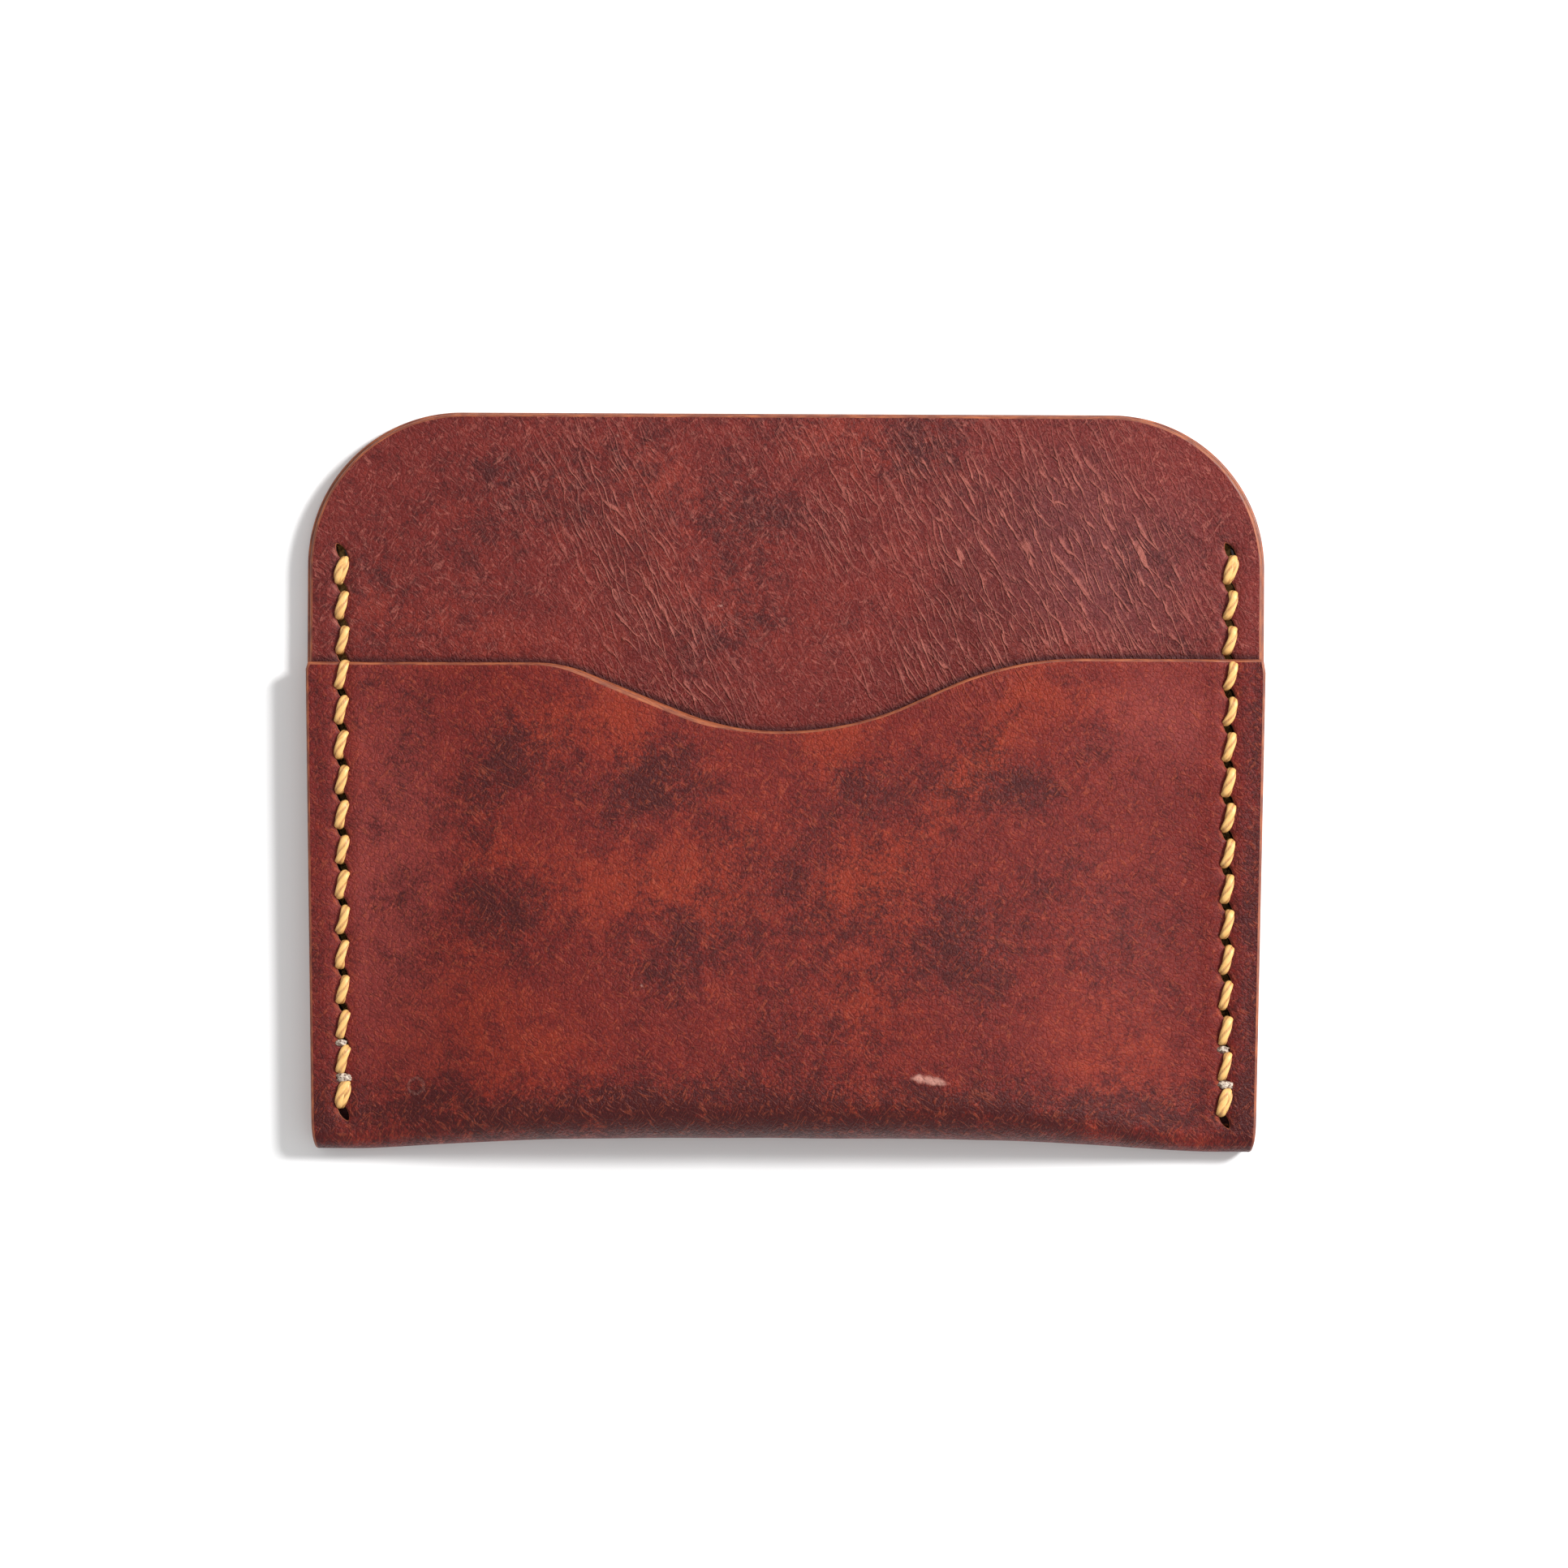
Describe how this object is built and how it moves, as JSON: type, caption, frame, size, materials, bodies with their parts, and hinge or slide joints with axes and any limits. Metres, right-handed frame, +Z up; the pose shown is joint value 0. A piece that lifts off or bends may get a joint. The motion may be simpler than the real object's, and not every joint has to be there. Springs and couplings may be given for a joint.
{
  "type": "card holder",
  "caption": "Flat leather card holder: a shell folded along its bottom, a tall divider behind a wavy front pocket, and saddle-stitched sides.",
  "frame": {"origin": "on the resting plane, under the middle of the bounding box", "axes": "+X to the holder's right, along its width; +Y towards the open top of the pockets; +Z up, out of the front pocket"},
  "size_m": [0.106, 0.0816, 0.0091],
  "materials": {
    "shell_leather": "waxy pull-up leather, marbled red-brown, burnished edges",
    "divider_leather": "waxy pull-up leather with natural wrinkles",
    "waxed_thread": "waxed polyester, pale gold"
  },
  "bodies": {
    "root": {"shell": "shell_leather", "divider": "divider_leather", "left_seam_thread": "waxed_thread", "right_seam_thread": "waxed_thread"}
  },
  "joints": []
}
